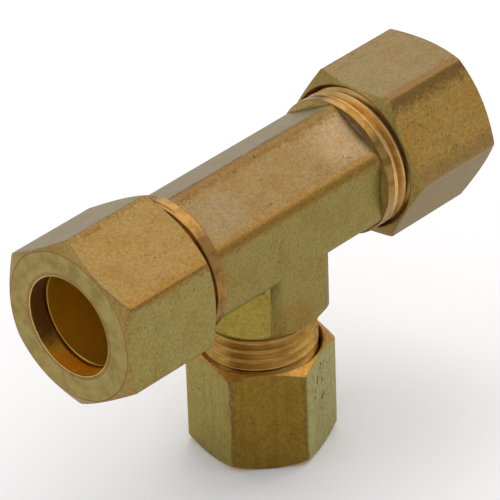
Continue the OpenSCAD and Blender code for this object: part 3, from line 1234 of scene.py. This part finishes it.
def build_nut(name, materials):
    """One nut, on the body that carries it."""
    port = PORTS[name]
    flat = port["crest"] + NUT_WALL
    nut = nut_shell(name, flat)
    join(nut, nut_thread(name))
    close(nut, port["back"])
    close(nut, port["end"] + THREAD_RUNOUT)
    print(name, "nut, open edges:", open_count(nut))
    bmesh.ops.recalc_face_normals(nut, faces=nut.faces)
    break_edges(nut, flat - FACE_INSET - INSIDE_FACE)
    bmesh.ops.transform(nut, matrix=port["place"], verts=nut.verts)
    piece = finish_piece(nut, f"{name}_hex_nut", materials)
    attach(piece, f"{name}_nut")
    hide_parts(f"{name}_nut")
    "branch_nut_brass" if name == "branch" else "run_nut_brass"


print("edges are broken by", EDGE_BREAK, "mm")

# %% [markdown]
# ## The nuts' own colours
#
# Each nut has a look of its own. The near one is plain and even. The far one is
# freckled, with wide brown edges. The branch's is cut from bar with strong
# lines along it, and has bright orange cones and a scratched stretch on its
# front. Three flats of each have their own colours, from the given angle round,
# and the others are olive. A seed moves each nut into another part of the
# noise, so no two share a cloud.

# %% Colour the nuts
NUT_FADE = (0.92, 0.985)
ALONG_RUN, ALONG_BRANCH = (0.06, 1.6, 1.6), (1.6, 1.6, 0.06)
# Each flat's colour is partly tarnish and partly painted light and shade for the way that flat faces.
NUT_FLATS = {
    "left": (1.5, [(0.312, 0.248, 0.073, 1), (0.28, 0.182, 0.060, 1), (0.276, 0.214, 0.096, 1)]),
    "right": (-30, [(0.228, 0.160, 0.042, 1), (0.42, 0.26, 0.067, 1), (0.216, 0.160, 0.067, 1)]),
    "branch": (-100, [(0.318, 0.253, 0.058, 1), (0.250, 0.157, 0.025, 1), (0.365, 0.335, 0.112, 1)]),
}
NUT_LOOK = {
    "left": {
        "edges": [(31.5, 1, 0.08, 0.85, WORN_LIGHT), (91.5, -1, 0.05, 0.6, WORN_DARK)],
        "cone": (0.34, 0.222, 0.070, 1),
        "marks": (ALONG_RUN, 0.12),
        "seed": 11.0,
    },
    "right": {
        "edges": [(60, -1, 0.16, 0.85, WORN_DARK), (0, 1, 0.16, 0.6, (0.27, 0.165, 0.06, 1))],
        "cone": (0.32, 0.225, 0.066, 1),
        "marks": (ALONG_RUN, 0.20),
        "speckle": [((25.5, -9.5, 5.5), (11, 6, 7.5))],
        "seed": 23.0,
    },
    "branch": {
        "edges": [(-70, 1, 0.035, 0.8, WORN_DARK), (-10, -1, 0.03, 0.6, WORN_DARK)],
        "cone": (0.60, 0.33, 0.075, 1),
        "marks": (ALONG_BRANCH, 0.6),
        "scars": [((2.6, -8.8, -25.0), (4.2, 2.6, 8.5), 0.8)],
        "seed": 37.0,
    },
}


def nut_brass(name):
    """The tumbled finish of one nut."""
    axis, (first, front) = PORTS[name]["axis"], NUT_FLATS[name]
    flats = [(leaning(axis, first + 60 * i), flat) for i, flat in enumerate(front + [OLIVE] * 3)]
    return tumbled_brass(f"tumbled_{name}_nut_brass", axis, flats, fade=NUT_FADE, **NUT_LOOK[name])


for name, port in PORTS.items():
    axis = port["axis"]
    build_nut(name, [nut_brass(name), TURNED[axis], FACED[axis], HOLE[axis]])

# %% [markdown]
# ## The sleeves
#
# A sleeve is a plain turned ring with a long taper on its nose and a short
# bevel on its back. One closed outline, spun once, is the whole piece. Its
# taper has the slope of the seat, and its bore is the socket's, so both come
# from the spigot's values.

# %% Spin the sleeves
SLEEVE_WALL = 1.15
SLEEVE_BEVEL = 0.6
SLEEVE_LIP = 0.05
SLEEVE_SHARP = 15


def build_sleeve(name, material):
    """One sleeve, on the body that carries it."""
    port = PORTS[name]
    inner, nose, tail = port["tube"] / 2 + SOCKET_PLAY, port["nose"], port["sleeve_back"]
    outer = inner + SLEEVE_WALL
    outline = [
        (inner, nose + SLEEVE_LIP),
        (inner + SLEEVE_LIP, nose),
        (inner + NOSE_WALL, nose),
        (outer, nose + (SLEEVE_WALL - NOSE_WALL) / SEAT_SLOPE),
        (outer, tail - SLEEVE_BEVEL),
        (outer - SLEEVE_BEVEL, tail),
        (inner + SLEEVE_LIP, tail),
        (inner, tail - SLEEVE_LIP),
        (inner, nose + SLEEVE_LIP),
    ]
    sleeve = bmesh.new()
    spin(sleeve, outline)
    bmesh.ops.remove_doubles(sleeve, verts=sleeve.verts, dist=WELD)
    bmesh.ops.transform(sleeve, matrix=port["place"], verts=sleeve.verts)
    piece = finish_piece(sleeve, f"{name}_taper_sleeve", [material], SLEEVE_SHARP)
    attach(piece, f"{name}_sleeve")
    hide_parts(f"{name}_sleeve")


for name, port in PORTS.items():
    build_sleeve(name, BORE[port["axis"]])

# %% [markdown]
# ## The size
#
# The pieces made here stand in for those of the construction model, so both
# have to fill the same box. The construction model's parts are printed one by
# one at the start, and the box of the pieces shown now is printed here.

# %% Measure the size
low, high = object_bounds()
print("the fitting is", [round((b - a) / MM, 2) for a, b in zip(low, high)], "mm")
